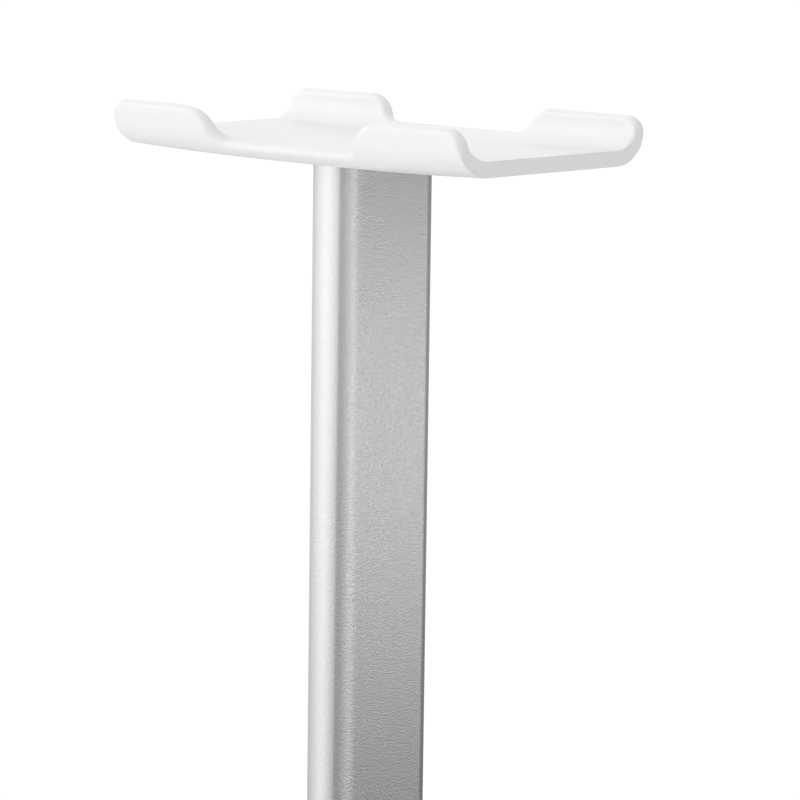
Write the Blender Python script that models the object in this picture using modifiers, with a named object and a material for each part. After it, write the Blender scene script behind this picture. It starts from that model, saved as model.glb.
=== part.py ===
"""Headphone stand: a moulded tray with four corner lips, screwed on an extruded aluminium
post that stands in a weighted base.

Metres, +Z up. The origin is the centre of the footprint, on the surface the stand stands on.
+X runs along the tray, the way the headband lies; +Y runs across it.
"""
import math

import bmesh
import bpy

MM = 0.001
GAP = 0.3 * MM                      # clearance between a piece and its neighbour

# Whole stand
TOTAL_H = 265.0 * MM                # desk to the lips' level tops

# Tray
TRAY_L = 105.4 * MM
TRAY_W = 59.8 * MM
TRAY_T = 3.5 * MM                   # wall, the same everywhere
LIP_H = 10.6 * MM                   # underside to lip top at the tray's ends
RIM_H = 4.75 * MM                   # underside to the low edge between the lips
SIDE_R = 9.2 * MM                   # outer radius of the upturned side
LIP_EDGE_R = 1.6 * MM               # rounding along the top of a lip
RIM_EDGE_R = 1.1 * MM               # rounding along the low edge
INNER_EDGE_R = 1.6 * MM             # rounding on the inner side of both
LIP_CORNER_R = 3.8 * MM             # a lip's corner at the open end
RIM_HALF = 18.4 * MM                # half the straight length of the low edge
LEVEL_X = 34.0 * MM                 # the lips' tops are level from here to the ends
SWEEP_ANGLE = math.radians(60)      # slope of the edge where it climbs to a lip
SWEEP_LOW_R = 4.6 * MM
SWEEP_HIGH_R = 4.9 * MM
EDGE_LEAN = 0.8 * MM                # the +Y low edge is higher, the -Y one lower, by this
DISH = 0.8 * MM                     # how much higher the tray's ends are than its middle
FLAT_HALF = 8.0 * MM                # half length of the flat middle over the post
TONGUE_W = 9.2 * MM                 # locating tongues that drop into the post
TONGUE_T = 2.0 * MM
TONGUE_H = 8.0 * MM
TONGUE_Y = 4.75 * MM

# Post
POST_X = 13.5 * MM
POST_Y = 28.8 * MM
POST_R = 4.0 * MM
POST_CROWN_R = 20.0 * MM            # bow of the narrow sides
POST_WALL = 1.5 * MM
POST_INNER_R = 2.5 * MM
WEB_T = 1.6 * MM                    # central web that carries the tray screw's port
PORT_R = 3.3 * MM                   # outside of a screw port
PORT_HOLE_R = 1.8 * MM
PORT_SLOT = math.radians(35)        # half the angle of an end port's slot
END_PORT_Y = 9.35 * MM

# Base
BASE_X = 125.0 * MM
BASE_Y = 100.0 * MM
BASE_R = 22.0 * MM                  # corner radius in plan
BASE_H = 18.0 * MM
BASE_WALL = 2.5 * MM
SKIRT_Z = 1.5 * MM                  # bottom of the shell's wall and of the cover
SIDE_TOP_Z = 8.0 * MM               # where the side turns into the top's rounding
CROWN_RUN = 20.0 * MM               # width of the rounding, from the side to the flat top
CROWN_POWER = 0.74                  # 1 is an ellipse; less is fuller near the side
COLLAR_RISE = 1.2 * MM              # raised rim round the post
COLLAR_W = 2.2 * MM
BOSS_R = 3.5 * MM
PILOT_R = 1.5 * MM
PILOT_ROOF = 1.2 * MM               # left above a pilot hole inside its boss
FOOT_X = 47.0 * MM
FOOT_Y = 34.5 * MM
COVER_T = 3.0 * MM
COVER_MARGIN = BASE_WALL + GAP

# Ballast
BALLAST_X = 84.0 * MM
BALLAST_Y = 84.0 * MM
BALLAST_R = 8.0 * MM
BALLAST_T = 4.0 * MM
BALLAST_Z = 8.5 * MM
BALLAST_SCREW_XY = 34.0 * MM

# Feet
PAD_R = 7.0 * MM
PAD_H = 2.2 * MM
POCKET_DEPTH = 1.0 * MM

# Screws: head radius, head height, shank radius, length under the head
TRAY_SCREW = (3.5 * MM, 2.0 * MM, 1.4 * MM, 16.0 * MM)
POST_SCREW = (3.6 * MM, 2.3 * MM, 1.4 * MM, 18.0 * MM)
BALLAST_SCREW = (3.0 * MM, 2.0 * MM, 1.15 * MM, 6.0 * MM)
COVER_SCREW = (2.8 * MM, 1.3 * MM, 1.15 * MM, 8.0 * MM)
WASHER_R = 4.5 * MM
WASHER_HOLE_R = 1.8 * MM
WASHER_T = 0.8 * MM

LIP_END_X = TRAY_L / 2 - LIP_CORNER_R
LIP_END_DISH = DISH * ((LIP_END_X - FLAT_HALF) / (TRAY_L / 2 - FLAT_HALF)) ** 2
TRAY_Z = TOTAL_H - LIP_H - LIP_END_DISH     # underside of the tray's middle
POST_TOP_Z = TRAY_Z - GAP
POST_FOOT_Z = BALLAST_Z + BALLAST_T + GAP


def clear_scene():
    for obj in list(bpy.data.objects):
        bpy.data.objects.remove(obj, do_unlink=True)


def make_collection(name):
    group = bpy.data.collections.new(name)
    bpy.context.scene.collection.children.link(group)
    return group


def make_material(name, colour, roughness, metallic=0.0):
    mat = bpy.data.materials.new(name)
    mat.use_nodes = True
    shader = mat.node_tree.nodes["Principled BSDF"]
    shader.inputs["Base Color"].default_value = (*colour, 1.0)
    shader.inputs["Roughness"].default_value = roughness
    shader.inputs["Metallic"].default_value = metallic
    return mat


def add_object(name, mesh, group, mat=None, location=(0, 0, 0)):
    obj = bpy.data.objects.new(name, mesh)
    obj.location = location
    group.objects.link(obj)
    if mat is not None and not mesh.materials:
        mesh.materials.append(mat)
    return obj


def shade_round(mesh, angle=math.radians(35)):
    mesh.shade_smooth()
    mesh.set_sharp_from_angle(angle=angle)


def make_cutter(obj):
    obj.hide_render = True
    obj.display_type = "WIRE"
    return obj


def boolean(obj, other, operation):
    mod = obj.modifiers.new(f"{operation.lower()} {other.name}", "BOOLEAN")
    mod.operation = operation
    mod.solver = "EXACT"
    mod.object = other


# Outlines in plan --------------------------------------------------------------------------

def arc(cx, cy, radius, start, end, steps):
    """Points from angle start to angle end, both included."""
    turn = (end - start) / steps
    angles = [start + turn * i for i in range(steps + 1)]
    return [(cx + radius * math.cos(a), cy + radius * math.sin(a)) for a in angles]


def circle(cx, cy, radius, sides=20):
    return arc(cx, cy, radius, 0.0, math.tau * (1 - 1 / sides), sides - 1)


def rounded_rect(half_x, half_y, radius, steps=6):
    points = []
    for quarter, (sx, sy) in enumerate(((1, 1), (-1, 1), (-1, -1), (1, -1))):
        start = quarter * math.pi / 2
        centre = (sx * (half_x - radius), sy * (half_y - radius))
        points += arc(*centre, radius, start, start + math.pi / 2, steps)
    return points


def post_outline(grow=0.0):
    """The post's section: flat broad sides, narrow sides that bow out a little."""
    corner_x = POST_X / 2 - POST_R
    crown_y = POST_Y / 2 - POST_CROWN_R
    reach = POST_CROWN_R - POST_R
    corner_y = crown_y + math.sqrt(reach ** 2 - corner_x ** 2)
    lean = math.asin(corner_x / reach)
    points = []
    for side, start in ((1, 0.0), (-1, math.pi)):
        top = start + math.pi / 2
        points += arc(side * corner_x, side * corner_y, POST_R + grow, start, top - lean, 6)
        points += arc(0.0, side * crown_y, POST_CROWN_R + grow, top - lean, top + lean, 4)[1:-1]
        points += arc(-side * corner_x, side * corner_y, POST_R + grow, top + lean,
                      start + math.pi, 6)
    return points


def prism_mesh(name, outlines, bottom, top):
    """A flat outline with its holes, extruded between two heights, as a closed mesh."""
    curve = bpy.data.curves.new(name, "CURVE")
    curve.dimensions = "2D"
    curve.fill_mode = "BOTH"
    curve.extrude = (top - bottom) / 2
    for outline in outlines:
        spline = curve.splines.new("POLY")
        spline.points.add(len(outline) - 1)
        for point, (x, y) in zip(spline.points, outline):
            point.co = (x, y, 0.0, 1.0)
        spline.use_cyclic_u = True
    drawn = bpy.data.objects.new(name + "_outline", curve)
    drawn.location.z = (top + bottom) / 2
    bpy.context.scene.collection.objects.link(drawn)
    bpy.context.view_layer.update()
    evaluated = drawn.evaluated_get(bpy.context.evaluated_depsgraph_get())
    mesh = bpy.data.meshes.new_from_object(evaluated)
    mesh.transform(drawn.matrix_world)
    mesh.name = name
    bpy.data.objects.remove(drawn)
    bm = bmesh.new()
    bm.from_mesh(mesh)
    bmesh.ops.remove_doubles(bm, verts=bm.verts, dist=0.001 * MM)
    bmesh.ops.recalc_face_normals(bm, faces=bm.faces)
    bm.to_mesh(mesh)
    bm.free()
    return mesh


def prism(name, outlines, bottom, top, group, mat=None):
    mesh = prism_mesh(name, outlines, bottom, top)
    shade_round(mesh)
    return add_object(name, mesh, group, mat)


# Turned pieces -----------------------------------------------------------------------------

def turned_mesh(name, profile):
    """The profile runs from the top of the axis down the outer side to the bottom."""
    mesh = bpy.data.meshes.new(name)
    edges = [(i, i + 1) for i in range(len(profile) - 1)]
    mesh.from_pydata([(r, 0.0, z) for r, z in profile], edges, [])
    return mesh


def turned(name, mesh, group, location=(0, 0, 0), upside_down=False, sides=20):
    obj = add_object(name, mesh, group, location=location)
    if upside_down:
        obj.rotation_euler = (math.pi, 0.0, 0.0)
    mod = obj.modifiers.new("turn", "SCREW")
    mod.axis = "Z"
    mod.steps = sides
    mod.render_steps = sides
    mod.use_merge_vertices = True
    mod.merge_threshold = 0.01 * MM
    mod.use_smooth_shade = True
    return obj


def countersunk_profile(size):
    head_r, head_h, shank_r, length = size
    tip = 1.5 * shank_r
    return [(0.0, 0.0), (head_r, 0.0), (head_r, -0.15 * head_h), (shank_r, -head_h),
            (shank_r, tip - head_h - length), (0.25 * shank_r, -head_h - length),
            (0.0, -head_h - length)]


def pan_profile(size):
    head_r, head_h, shank_r, length = size
    tip = 1.5 * shank_r
    dome = [(0.0, 0.0), (0.55 * head_r, -0.05 * head_h), (0.85 * head_r, -0.25 * head_h),
            (head_r, -0.55 * head_h), (head_r, -head_h), (shank_r, -head_h)]
    return dome + [(shank_r, tip - head_h - length), (0.25 * shank_r, -head_h - length),
                   (0.0, -head_h - length)]


def cross_outline(arm, half_width):
    """A cross recess: four arms that narrow a little towards their tips."""
    tip = 0.8 * half_width
    corners = ((arm, -tip), (arm, tip), (half_width, half_width))
    points = []
    for quarter in range(4):
        c, s = ((1, 0), (0, 1), (-1, 0), (0, -1))[quarter]
        points += [(c * x - s * y, s * x + c * y) for x, y in corners]
    return points


# Lofts -------------------------------------------------------------------------------------

def loft(bm, sections, closed_rings):
    """Quads between sections that have the same number of points; returns the vertex rows."""
    rows = [[bm.verts.new(point) for point in section] for section in sections]
    count = len(rows[0])
    last = count if closed_rings else count - 1
    for low, high in zip(rows, rows[1:]):
        for i in range(last):
            j = (i + 1) % count
            bm.faces.new((low[i], low[j], high[j], high[i]))
    return rows


def mesh_from(bm, name):
    bmesh.ops.recalc_face_normals(bm, faces=bm.faces)
    mesh = bpy.data.meshes.new(name)
    bm.to_mesh(mesh)
    bm.free()
    return mesh


# Tray --------------------------------------------------------------------------------------

def dish(x):
    """The tray rises towards its open ends, from a flat middle."""
    run = max(0.0, x - FLAT_HALF) / (TRAY_L / 2 - FLAT_HALF)
    return DISH * run * run


def side_edge_line():
    """Stations (x, edge height) of the side's top edge, from the middle to the open end."""
    rise = 1 - math.cos(SWEEP_ANGLE)
    reach = math.sin(SWEEP_ANGLE)
    straight = LIP_H - RIM_H - (SWEEP_LOW_R + SWEEP_HIGH_R) * rise
    high_x = RIM_HALF + (SWEEP_LOW_R + SWEEP_HIGH_R) * reach + straight / math.tan(SWEEP_ANGLE)
    stations = [(0.0, RIM_H), (FLAT_HALF, RIM_H), (0.7 * RIM_HALF, RIM_H)]
    for x, z in arc(RIM_HALF, RIM_H + SWEEP_LOW_R, SWEEP_LOW_R, -math.pi / 2,
                    SWEEP_ANGLE - math.pi / 2, 4):
        stations.append((x, z))
    for x, z in arc(high_x, LIP_H - SWEEP_HIGH_R, SWEEP_HIGH_R, SWEEP_ANGLE + math.pi / 2,
                    math.pi / 2, 4):
        stations.append((x, z))
    for fraction in (0.35, 0.7):
        stations.append((high_x + fraction * (LIP_END_X - high_x), LIP_H))
    stations += arc(LIP_END_X, LIP_H - LIP_CORNER_R, LIP_CORNER_R, math.pi / 2, 0.0, 5)
    return stations


def half_section(edge_z):
    """Half of the tray's cross-section, from the underside's middle to the top's."""
    arc_y = TRAY_W / 2 - SIDE_R
    climb = (edge_z - RIM_H) / (LIP_H - RIM_H)
    edge_r = RIM_EDGE_R + (LIP_EDGE_R - RIM_EDGE_R) * climb
    inner_r = SIDE_R - TRAY_T
    outer_z = edge_z - edge_r
    inner_z = edge_z - INNER_EDGE_R
    outer_y = arc_y + math.sqrt((SIDE_R - edge_r) ** 2 - (outer_z - SIDE_R) ** 2)
    inner_y = arc_y + math.sqrt((inner_r + INNER_EDGE_R) ** 2 - (inner_z - SIDE_R) ** 2)
    outer_turn = math.atan2(outer_z - SIDE_R, outer_y - arc_y)
    inner_turn = math.atan2(inner_z - SIDE_R, inner_y - arc_y)
    points = [(0.0, 0.0)]
    points += arc(arc_y, SIDE_R, SIDE_R, -math.pi / 2, outer_turn, 6)
    points += arc(outer_y, outer_z, edge_r, outer_turn, math.pi / 2, 4)[1:]
    points += arc(inner_y, inner_z, INNER_EDGE_R, math.pi / 2, math.pi + inner_turn, 3)
    points += arc(arc_y, SIDE_R, inner_r, inner_turn, -math.pi / 2, 4)[1:]
    points.append((0.0, TRAY_T))
    return points


def tray_section(x, edge_z):
    """The whole cross-section at x: the +Y half, then the -Y half back to the start. The floor
    follows the dish, the lips' tops run level, and the two low edges differ by the lean."""
    run = min(max((x - RIM_HALF) / (LEVEL_X - RIM_HALF), 0.0), 1.0)
    levelled = run * run * (3 - 2 * run)
    lean = (1 - levelled) * EDGE_LEAN
    edge_z += levelled * (dish(LIP_END_X) - dish(x))
    far_side = half_section(edge_z + lean)
    near_side = [(-y, z) for y, z in reversed(half_section(edge_z - lean))][1:-1]
    return [(x, y, z + dish(x)) for y, z in far_side + near_side]


def make_tray(group, cutters, mat):
    """Half of the tray, lofted and mirrored, with two tongues and the screw's hole."""
    bm = bmesh.new()
    sections = [tray_section(x, z) for x, z in side_edge_line()]
    rows = loft(bm, sections, closed_rings=True)
    bm.faces.new(rows[-1])
    mesh = mesh_from(bm, "headrest_tray")
    shade_round(mesh)
    tray = add_object("headrest_tray", mesh, group, mat, (0, 0, TRAY_Z))
    mirror = tray.modifiers.new("two halves", "MIRROR")
    mirror.use_axis = (True, False, False)
    mirror.merge_threshold = 0.01 * MM
    for side in (-1, 1):
        low, high = side * TONGUE_Y - TONGUE_T / 2, side * TONGUE_Y + TONGUE_T / 2
        outline = [(-TONGUE_W / 2, low), (TONGUE_W / 2, low),
                   (TONGUE_W / 2, high), (-TONGUE_W / 2, high)]
        tongue = prism(f"tray_tongue_{side}", [outline], TRAY_Z - TONGUE_H,
                       TRAY_Z + TRAY_T / 2, cutters)
        boolean(tray, make_cutter(tongue), "UNION")
    head_r, head_h, shank_r, _ = TRAY_SCREW
    hole_r, wide_r = shank_r + 0.6 * MM, head_r + 0.1 * MM
    profile = [(0.0, MM), (wide_r, MM), (wide_r, -0.5 * MM), (hole_r, -head_h - GAP),
               (hole_r, -TRAY_T - MM), (0.0, -TRAY_T - MM)]
    hole = turned("tray_screw_hole", turned_mesh("tray_screw_hole", profile), cutters,
                  (0, 0, TRAY_Z + TRAY_T), sides=24)
    boolean(tray, make_cutter(hole), "DIFFERENCE")
    return tray


# Post --------------------------------------------------------------------------------------

def post_cell(side):
    """One of the post's two hollows: the web with its port at one end, and at the other a
    slotted screw port that stands out from the narrow wall."""
    half_x = POST_X / 2 - POST_WALL
    end_y = POST_Y / 2 - POST_WALL
    web_y = WEB_T / 2
    neck = 0.5 * PORT_R
    web_turn = math.asin(web_y / PORT_R)
    neck_turn = math.acos(neck / PORT_R)
    slot_turn = math.asin(PORT_HOLE_R * math.sin(PORT_SLOT) / PORT_R)
    corner = POST_INNER_R
    right = [(half_x, web_y)]
    right += arc(half_x - corner, end_y - corner, corner, 0.0, math.pi / 2, 5)
    right.append((neck, end_y))
    right += arc(0.0, END_PORT_Y, PORT_R, neck_turn, slot_turn - math.pi / 2, 9)
    right += arc(0.0, END_PORT_Y, PORT_HOLE_R, PORT_SLOT - math.pi / 2, math.pi / 2, 8)
    left = [(-x, y) for x, y in reversed(right[:-1])]
    ring = arc(0.0, 0.0, PORT_R, math.pi - web_turn, web_turn, 9)
    outline = right + left + ring
    return [(x, side * y) for x, y in outline]


def make_post(group, mat):
    outlines = [post_outline(), post_cell(1), post_cell(-1),
                circle(0.0, 0.0, PORT_HOLE_R, 16)]
    return prism("post", outlines, POST_FOOT_Z, POST_TOP_Z, group, mat)


# Base --------------------------------------------------------------------------------------

def crown_height(inset, wall):
    """Height of the shell's outside (wall 0) or inside at a distance in from the side."""
    run = min(max((inset - wall) / (CROWN_RUN - wall), 0.0), 1.0)
    rise = (1 - (1 - run) ** 2) ** (CROWN_POWER / 2)
    return SIDE_TOP_Z + (BASE_H - wall - SIDE_TOP_Z) * rise


def shell_rings(wall):
    """Rings up the shell's outside (wall 0) or its inside (wall thickness), as inset, z."""
    rings = [(wall, SKIRT_Z - (MM if wall else 0.0))]
    steps = 8
    for i in range(steps + 1):
        run = 1 - math.cos(math.pi / 2 * (i / steps) ** 1.5)
        inset = wall + (CROWN_RUN - wall) * run
        rings.append((inset, crown_height(inset, wall)))
    return rings


def slab_mesh(name, rings):
    """A rounded rectangle whose outline moves inwards as it climbs, closed at both ends."""
    bm = bmesh.new()
    sections = []
    for inset, z in rings:
        outline = rounded_rect(BASE_X / 2 - inset, BASE_Y / 2 - inset, BASE_R - inset, 5)
        sections.append([(x, y, z) for x, y in outline])
    rows = loft(bm, sections, closed_rings=True)
    bm.faces.new(list(reversed(rows[0])))
    bm.faces.new(rows[-1])
    return mesh_from(bm, name)


def corner_places(x, y):
    return [(sx * x, sy * y) for sx, sy in ((1, 1), (-1, 1), (-1, -1), (1, -1))]


def make_shell(group, cutters, mat):
    """The base's moulded top: collar and socket for the post, bosses for eight screws."""
    mesh = slab_mesh("base_shell", shell_rings(0.0))
    shade_round(mesh)
    shell = add_object("base_shell", mesh, group, mat)
    inside = add_object("shell_inside", slab_mesh("shell_inside", shell_rings(BASE_WALL)),
                        cutters)
    boolean(shell, make_cutter(inside), "DIFFERENCE")
    socket = prism("shell_socket", [post_outline(GAP + COLLAR_W)], POST_FOOT_Z,
                   BASE_H + COLLAR_RISE, cutters)
    boolean(shell, make_cutter(socket), "UNION")
    cover_top = SKIRT_Z + COVER_T
    bosses = [(place, cover_top + GAP) for place in corner_places(FOOT_X, FOOT_Y)]
    bosses += [(place, POST_FOOT_Z)
               for place in corner_places(BALLAST_SCREW_XY, BALLAST_SCREW_XY)]
    for number, ((x, y), foot_z) in enumerate(bosses, 1):
        top_z = boss_top(x, y)
        boss = prism(f"shell_boss_{number}", [circle(x, y, BOSS_R, 16)], foot_z, top_z, cutters)
        boolean(shell, make_cutter(boss), "UNION")
        pilot = prism(f"shell_pilot_{number}", [circle(x, y, PILOT_R, 12)], foot_z - MM,
                      top_z - PILOT_ROOF, cutters)
        boolean(shell, make_cutter(pilot), "DIFFERENCE")
    hole = prism("shell_post_hole", [post_outline(GAP)], POST_FOOT_Z - MM,
                 BASE_H + COLLAR_RISE + MM, cutters)
    boolean(shell, make_cutter(hole), "DIFFERENCE")
    return shell


def boss_top(x, y):
    """Height of a boss that ends inside the shell's wall, lower where the top rounds off."""
    inset = BASE_R - math.hypot(max(0.0, abs(x) - BASE_X / 2 + BASE_R),
                                max(0.0, abs(y) - BASE_Y / 2 + BASE_R))
    return crown_height(inset + BOSS_R, BASE_WALL) + GAP


def make_ballast(group, mat):
    clearance = POST_SCREW[2] + 0.6 * MM
    outlines = [rounded_rect(BALLAST_X / 2, BALLAST_Y / 2, BALLAST_R, 5)]
    outlines += [circle(0.0, side * END_PORT_Y, clearance, 14) for side in (-1, 1)]
    outlines += [circle(x, y, PILOT_R, 12)
                 for x, y in corner_places(BALLAST_SCREW_XY, BALLAST_SCREW_XY)]
    return prism("ballast_plate", outlines, BALLAST_Z, BALLAST_Z + BALLAST_T, group, mat)


def make_cover(group, cutters, mat):
    """The base's underside, with a pocket for each foot and a countersunk hole inside it."""
    outline = rounded_rect(BASE_X / 2 - COVER_MARGIN, BASE_Y / 2 - COVER_MARGIN,
                           BASE_R - COVER_MARGIN, 6)
    cover = prism("base_cover", [outline], SKIRT_Z, SKIRT_Z + COVER_T, group, mat)
    head_r, head_h, shank_r, _ = COVER_SCREW
    pocket_r = PAD_R + GAP
    hole_r = shank_r + 0.5 * MM
    pocket_z = SKIRT_Z + POCKET_DEPTH
    cone_z = pocket_z + GAP + head_h
    profile = [(0.0, SKIRT_Z + COVER_T + MM), (hole_r, SKIRT_Z + COVER_T + MM), (hole_r, cone_z),
               (head_r + GAP, pocket_z + 0.15 * head_h), (head_r + GAP, pocket_z),
               (pocket_r, pocket_z), (pocket_r, SKIRT_Z - MM), (0.0, SKIRT_Z - MM)]
    mesh = turned_mesh("foot_pocket", profile)
    for number, (x, y) in enumerate(corner_places(FOOT_X, FOOT_Y), 1):
        pocket = turned(f"foot_pocket_{number}", mesh, cutters, (x, y, 0.0))
        boolean(cover, make_cutter(pocket), "DIFFERENCE")
    return cover


def make_feet(group, mat):
    profile = [(0.0, PAD_H), (PAD_R, PAD_H), (PAD_R, 0.4 * MM), (PAD_R - 0.4 * MM, 0.0),
               (0.0, 0.0)]
    mesh = turned_mesh("foot_pad", profile)
    mesh.materials.append(mat)
    for number, (x, y) in enumerate(corner_places(FOOT_X, FOOT_Y), 1):
        turned(f"foot_pad_{number}", mesh, group, (x, y, 0.0))


# Fasteners ---------------------------------------------------------------------------------

def make_screws(name, profile, size, places, head_z, group, cutters, mat, upwards):
    """Screws of one size, each with a cross recess; upwards means driven from below."""
    mesh = turned_mesh(name, profile(size))
    mesh.materials.append(mat)
    head_r, head_h = size[0], size[1]
    depth = 0.6 * head_h
    low, high = (head_z - MM, head_z + depth) if upwards else (head_z - depth, head_z + MM)
    for number, (x, y) in enumerate(places, 1):
        label = name if len(places) == 1 else f"{name}_{number}"
        screw = turned(label, mesh, group, (x, y, head_z), upside_down=upwards, sides=14)
        outline = [(x + px, y + py) for px, py in cross_outline(0.48 * head_r, 0.14 * head_r)]
        recess = prism(f"{label}_recess", [outline], low, high, cutters)
        boolean(screw, make_cutter(recess), "DIFFERENCE")


def make_fasteners(group, cutters, mat):
    post_places = [(0.0, END_PORT_Y), (0.0, -END_PORT_Y)]
    washer_z = BALLAST_Z - GAP - WASHER_T
    make_screws("headrest_screw", countersunk_profile, TRAY_SCREW, [(0.0, 0.0)],
                TRAY_Z + TRAY_T - GAP, group, cutters, mat, upwards=False)
    make_screws("post_screw", pan_profile, POST_SCREW, post_places,
                washer_z - GAP - POST_SCREW[1], group, cutters, mat, upwards=True)
    make_screws("ballast_screw", pan_profile, BALLAST_SCREW,
                corner_places(BALLAST_SCREW_XY, BALLAST_SCREW_XY),
                BALLAST_Z - GAP - BALLAST_SCREW[1], group, cutters, mat, upwards=True)
    make_screws("cover_screw", countersunk_profile, COVER_SCREW,
                corner_places(FOOT_X, FOOT_Y), SKIRT_Z + POCKET_DEPTH + GAP, group, cutters,
                mat, upwards=True)
    for number, (x, y) in enumerate(post_places, 1):
        outlines = [circle(x, y, WASHER_R, 20), circle(x, y, WASHER_HOLE_R, 14)]
        prism(f"post_washer_{number}", outlines, washer_z, washer_z + WASHER_T, group, mat)


def main():
    clear_scene()
    parts = make_collection("headphone_stand")
    cutters = make_collection("cutters")
    white = make_material("tray_white", (0.90, 0.90, 0.90), 0.35)
    aluminium = make_material("blasted_aluminium", (0.78, 0.79, 0.80), 0.42, 1.0)
    base_white = make_material("base_white", (0.88, 0.88, 0.88), 0.30)
    cover_grey = make_material("cover_grey", (0.62, 0.62, 0.63), 0.55)
    steel = make_material("ballast_steel", (0.50, 0.50, 0.52), 0.50, 1.0)
    zinc = make_material("zinc_plated", (0.72, 0.73, 0.75), 0.32, 1.0)
    rubber = make_material("foot_rubber", (0.06, 0.06, 0.06), 0.85)
    make_tray(parts, cutters, white)
    make_post(parts, aluminium)
    make_shell(parts, cutters, base_white)
    make_ballast(parts, steel)
    make_cover(parts, cutters, cover_grey)
    make_feet(parts, rubber)
    make_fasteners(parts, cutters, zinc)


main()
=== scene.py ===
"""Headphone stand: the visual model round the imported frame, with its camera and lights."""
import math

import bmesh
import bpy
from mathutils import Matrix, Vector

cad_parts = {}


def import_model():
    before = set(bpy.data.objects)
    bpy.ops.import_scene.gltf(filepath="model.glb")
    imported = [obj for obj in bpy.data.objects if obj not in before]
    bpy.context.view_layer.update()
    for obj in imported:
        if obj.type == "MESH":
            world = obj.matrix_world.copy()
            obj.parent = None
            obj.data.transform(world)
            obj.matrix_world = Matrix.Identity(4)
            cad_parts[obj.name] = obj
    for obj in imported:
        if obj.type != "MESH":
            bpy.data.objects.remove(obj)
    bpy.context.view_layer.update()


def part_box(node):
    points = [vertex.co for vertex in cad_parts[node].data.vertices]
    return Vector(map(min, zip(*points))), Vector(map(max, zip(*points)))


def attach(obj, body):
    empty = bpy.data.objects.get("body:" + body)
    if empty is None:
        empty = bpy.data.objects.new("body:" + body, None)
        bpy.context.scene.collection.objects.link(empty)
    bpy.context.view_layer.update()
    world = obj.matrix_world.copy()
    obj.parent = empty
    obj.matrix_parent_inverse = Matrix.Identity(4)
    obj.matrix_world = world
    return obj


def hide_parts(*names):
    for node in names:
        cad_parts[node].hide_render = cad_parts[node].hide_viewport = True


MM = 0.001
GAP = 0.3 * MM                      # the CAD's clearance between neighbours
OVERCUT = 1.0 * MM                  # how far a cutter reaches past the surface it opens

# Camera, measured from the underside of the tray's middle
AZIMUTH = math.radians(43.69)
ELEVATION = math.radians(9.08)
ROLL = math.radians(0.777)
DISTANCE = 787.2 * MM
AIM_RIGHT = 6.61 * MM               # where the optical axis passes the tray's middle
AIM_UP = -52.96 * MM
LENS_MM = 161.55
SENSOR_MM = 36.0

# Tray
TRAY_T = 3.5 * MM
SIDE_R = 9.2 * MM
LIP_H = 10.6 * MM                   # at the tray's ends
RIM_H = 4.75 * MM
LIP_EDGE_R = 1.6 * MM
RIM_EDGE_R = 1.1 * MM
INNER_EDGE_R = 1.6 * MM
LIP_CORNER_R = 3.8 * MM
END_EDGE_R = 0.15 * MM              # rounding of the open ends' edges along the floor
END_LIP_R = 1.0 * MM                # and up the lips
RIM_HALF = 18.4 * MM
LEVEL_X = 34.0 * MM                 # the lips' tops are level from here to the ends
SWEEP_ANGLE = math.radians(60)
SWEEP_LOW_R = 4.6 * MM
SWEEP_HIGH_R = 4.9 * MM
EDGE_LEAN = 0.8 * MM                # the +Y low edge is higher, the -Y one lower, by this
DISH = 0.8 * MM
FLAT_HALF = 8.0 * MM
TONGUE_W = 9.2 * MM
TONGUE_T = 2.0 * MM
TONGUE_Y = 4.75 * MM
TONGUE_R = 0.5 * MM

# Post
POST_R = 4.0 * MM
POST_CROWN_R = 20.0 * MM            # bow of the narrow sides
POST_WALL = 1.5 * MM
POST_INNER_R = 2.5 * MM
WEB_T = 1.6 * MM
PORT_R = 3.3 * MM
PORT_HOLE_R = 1.8 * MM
PORT_SLOT = math.radians(35)
END_PORT_Y = 9.35 * MM

# Base
BASE_R = 22.0 * MM
BASE_H = 18.0 * MM
BASE_WALL = 2.5 * MM
SKIRT_EDGE_R = 0.5 * MM
SIDE_TOP_Z = 8.0 * MM
CROWN_RUN = 20.0 * MM
CROWN_POWER = 0.74
COLLAR_RISE = 1.2 * MM
COLLAR_W = 2.2 * MM
COLLAR_EDGE_R = 0.5 * MM
COLLAR_FILLET_R = 0.8 * MM
BOSS_R = 3.5 * MM
PILOT_R = 1.5 * MM
PILOT_ROOF = 1.2 * MM
COVER_EDGE_R = 0.5 * MM
POCKET_DEPTH = 1.0 * MM
BALLAST_R = 8.0 * MM

# Small edges and holes
HOLE_CLEARANCE = 0.6 * MM           # round a screw's shank, in the tray and the ballast
COVER_CLEARANCE = 0.5 * MM          # and in the cover
WASHER_CLEARANCE = 0.4 * MM         # and in a washer
HEAD_CLEARANCE = 0.1 * MM           # round the tray screw's head
HEAD_SINK = 0.5 * MM                # straight part of the tray's hole, above its countersink
BALLAST_EDGE = 0.3 * MM
WASHER_EDGE = 0.12 * MM
FOOT_EDGE_R = 0.5 * MM
FOOT_TOP_EDGE = 0.2 * MM
FOOT_GROOVE = 0.25 * MM             # depth of the grooves, and width of their flat bottoms
FOOT_RINGS = (0.75, 0.5, 0.25)      # the grooves' radii, as shares of the foot's
AXIS_R = 0.1 * MM                   # a turned profile starts and ends this far off its axis

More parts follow.
